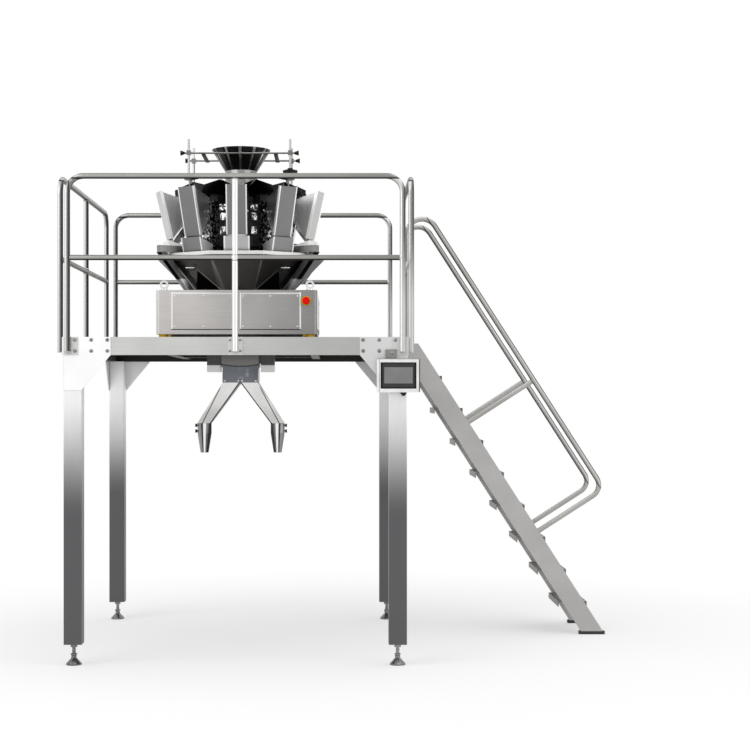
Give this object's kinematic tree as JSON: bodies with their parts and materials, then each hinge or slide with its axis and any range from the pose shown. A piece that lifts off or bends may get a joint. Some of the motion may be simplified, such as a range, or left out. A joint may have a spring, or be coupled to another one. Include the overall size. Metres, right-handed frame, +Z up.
{
  "type": "multihead weigher on a work platform",
  "caption": "Multihead weigher with a ring of hoppers over a collecting funnel and twin outlets, on a railed stainless platform with a stair.",
  "frame": {"origin": "on the floor, at the middle of the whole plant in plan", "axes": "+X along the platform towards the foot of the stair, +Y from the front of the machine to the back, +Z up"},
  "size_m": [3.2332, 2.013, 3.037],
  "materials": {
    "leg_steel": "vertical brushed stainless",
    "beam_steel": "brushed stainless",
    "joist_steel": "brushed stainless",
    "gusset_steel": "bright brushed stainless",
    "deck_steel": "matt stainless plate",
    "foot_chrome": "polished",
    "foot_rubber": "matt",
    "rail_steel": "polished stainless tube",
    "stair_steel": "brushed stainless",
    "tread_steel": "brushed stainless",
    "screen_case": "satin",
    "screen_bezel": "gloss black",
    "bracket_steel": "brushed stainless",
    "chassis_steel": "brushed stainless",
    "panel_steel": "brushed stainless",
    "pad_yellow": "satin amber",
    "eye_chrome": "polished",
    "stop_yellow": "matt yellow",
    "stop_red": "gloss red",
    "strut_steel": "dark reflecting stainless",
    "arm_steel": "brushed stainless",
    "funnel_steel": "dark reflecting stainless",
    "duct_steel": "brushed stainless",
    "spout_steel": "brushed stainless",
    "nozzle_steel": "polished stainless",
    "knob_black": "matt black",
    "hopper_steel": "polished stainless",
    "cover_steel": "bead-blasted stainless",
    "gate_steel": "polished stainless",
    "weigh_steel": "polished stainless",
    "body_dark": "dark",
    "drive_cast": "cast",
    "pan_dark": "embossed stainless in shade",
    "vibrator_dark": "dark casting",
    "spreader_steel": "embossed stainless",
    "rod_steel": "polished rod",
    "carrier_steel": "polished rod",
    "cone_black": "mirror stainless reflecting dark",
    "collar_steel": "polished stainless",
    "fitting_black": "matt black"
  },
  "bodies": {
    "platform_and_weigher": {"platform_legs": "leg_steel", "levelling_feet": "foot_chrome", "corner_gussets": "gusset_steel", "end_beams": "beam_steel", "side_beams": "beam_steel", "deck_joists": "joist_steel", "cross_joists": "joist_steel", "deck_plates": "deck_steel", "front_guardrail": "rail_steel", "rear_guardrail": "rail_steel", "left_guardrail": "rail_steel", "right_guardrail": "rail_steel", "stair_stringers": "stair_steel", "stair_treads": "tread_steel", "stair_handrails": "rail_steel", "stair_feet": "foot_rubber", "touch_screen_box": "screen_case", "touch_screen": "screen_bezel", "screen_bracket": "bracket_steel", "chassis": "chassis_steel", "access_panels": "panel_steel", "chassis_pads": "pad_yellow", "lifting_eyes": "eye_chrome", "stop_button_base": "stop_yellow", "stop_button_head": "stop_red", "funnel_struts": "strut_steel", "support_arms": "arm_steel", "collecting_funnel": "funnel_steel", "discharge_duct": "duct_steel", "outlet_box": "duct_steel", "chute_hangers": "bracket_steel", "twin_spouts": "spout_steel", "nozzles": "nozzle_steel", "nozzle_knobs": "knob_black", "feed_hoppers": "hopper_steel", "hopper_covers": "cover_steel", "weigh_hoppers": "weigh_steel", "weigh_gates": "weigh_steel", "central_body": "body_dark", "drive_units": "drive_cast", "feeder_pans": "pan_dark", "vibrators": "vibrator_dark", "dispersion_cone": "spreader_steel", "cone_rods": "rod_steel", "rod_brackets": "bracket_steel", "rod_handwheel": "fitting_black"},
    "infeed_carrier": {"cone_carrier": "carrier_steel", "infeed_cone": "cone_black", "infeed_collar": "collar_steel", "carrier_fittings": "fitting_black"},
    "feed_gate_1": {"feed_gate_1": "gate_steel"},
    "feed_gate_2": {"feed_gate_2": "gate_steel"},
    "feed_gate_3": {"feed_gate_3": "gate_steel"},
    "feed_gate_4": {"feed_gate_4": "gate_steel"},
    "feed_gate_5": {"feed_gate_5": "gate_steel"},
    "feed_gate_6": {"feed_gate_6": "gate_steel"},
    "feed_gate_7": {"feed_gate_7": "gate_steel"},
    "feed_gate_8": {"feed_gate_8": "gate_steel"},
    "feed_gate_9": {"feed_gate_9": "gate_steel"},
    "feed_gate_10": {"feed_gate_10": "gate_steel"}
  },
  "joints": [
    {"name": "infeed_height_slide", "type": "slide", "parent": "platform_and_weigher", "child": "infeed_carrier", "axis": [0, 0, 1], "range_m": [0, 0.05]},
    {"name": "feed_gate_1_hinge", "type": "hinge", "parent": "platform_and_weigher", "child": "feed_gate_1", "pos_m": [-0.64663, -0.3575, 2.54], "axis": [1, 0, 0], "range_deg": [0, 40], "stiffness_Nm_per_rad": 0.3, "springref_deg": -31.51},
    {"name": "feed_gate_2_hinge", "type": "hinge", "parent": "platform_and_weigher", "child": "feed_gate_2", "pos_m": [-0.42797, -0.28645, 2.54], "axis": [0.809, 0.5878, 0], "range_deg": [0, 40], "stiffness_Nm_per_rad": 0.3, "springref_deg": -31.51},
    {"name": "feed_gate_3_hinge", "type": "hinge", "parent": "platform_and_weigher", "child": "feed_gate_3", "pos_m": [-0.29283, -0.10045, 2.54], "axis": [0.309, 0.9511, 0], "range_deg": [0, 40], "stiffness_Nm_per_rad": 0.3, "springref_deg": -31.51},
    {"name": "feed_gate_4_hinge", "type": "hinge", "parent": "platform_and_weigher", "child": "feed_gate_4", "pos_m": [-0.29283, 0.12945, 2.54], "axis": [-0.309, 0.9511, 0], "range_deg": [0, 40], "stiffness_Nm_per_rad": 0.3, "springref_deg": -31.51},
    {"name": "feed_gate_5_hinge", "type": "hinge", "parent": "platform_and_weigher", "child": "feed_gate_5", "pos_m": [-0.42797, 0.31545, 2.54], "axis": [-0.809, 0.5878, 0], "range_deg": [0, 40], "stiffness_Nm_per_rad": 0.3, "springref_deg": -31.51},
    {"name": "feed_gate_6_hinge", "type": "hinge", "parent": "platform_and_weigher", "child": "feed_gate_6", "pos_m": [-0.64663, 0.3865, 2.54], "axis": [-1, 0, 0], "range_deg": [0, 40], "stiffness_Nm_per_rad": 0.3, "springref_deg": -31.51},
    {"name": "feed_gate_7_hinge", "type": "hinge", "parent": "platform_and_weigher", "child": "feed_gate_7", "pos_m": [-0.86528, 0.31545, 2.54], "axis": [-0.809, -0.5878, 0], "range_deg": [0, 40], "stiffness_Nm_per_rad": 0.3, "springref_deg": -31.51},
    {"name": "feed_gate_8_hinge", "type": "hinge", "parent": "platform_and_weigher", "child": "feed_gate_8", "pos_m": [-1.00042, 0.12945, 2.54], "axis": [-0.309, -0.9511, 0], "range_deg": [0, 40], "stiffness_Nm_per_rad": 0.3, "springref_deg": -31.51},
    {"name": "feed_gate_9_hinge", "type": "hinge", "parent": "platform_and_weigher", "child": "feed_gate_9", "pos_m": [-1.00042, -0.10045, 2.54], "axis": [0.309, -0.9511, 0], "range_deg": [0, 40], "stiffness_Nm_per_rad": 0.3, "springref_deg": -31.51},
    {"name": "feed_gate_10_hinge", "type": "hinge", "parent": "platform_and_weigher", "child": "feed_gate_10", "pos_m": [-0.86528, -0.28645, 2.54], "axis": [0.809, -0.5878, 0], "range_deg": [0, 40], "stiffness_Nm_per_rad": 0.3, "springref_deg": -31.51}
  ]
}
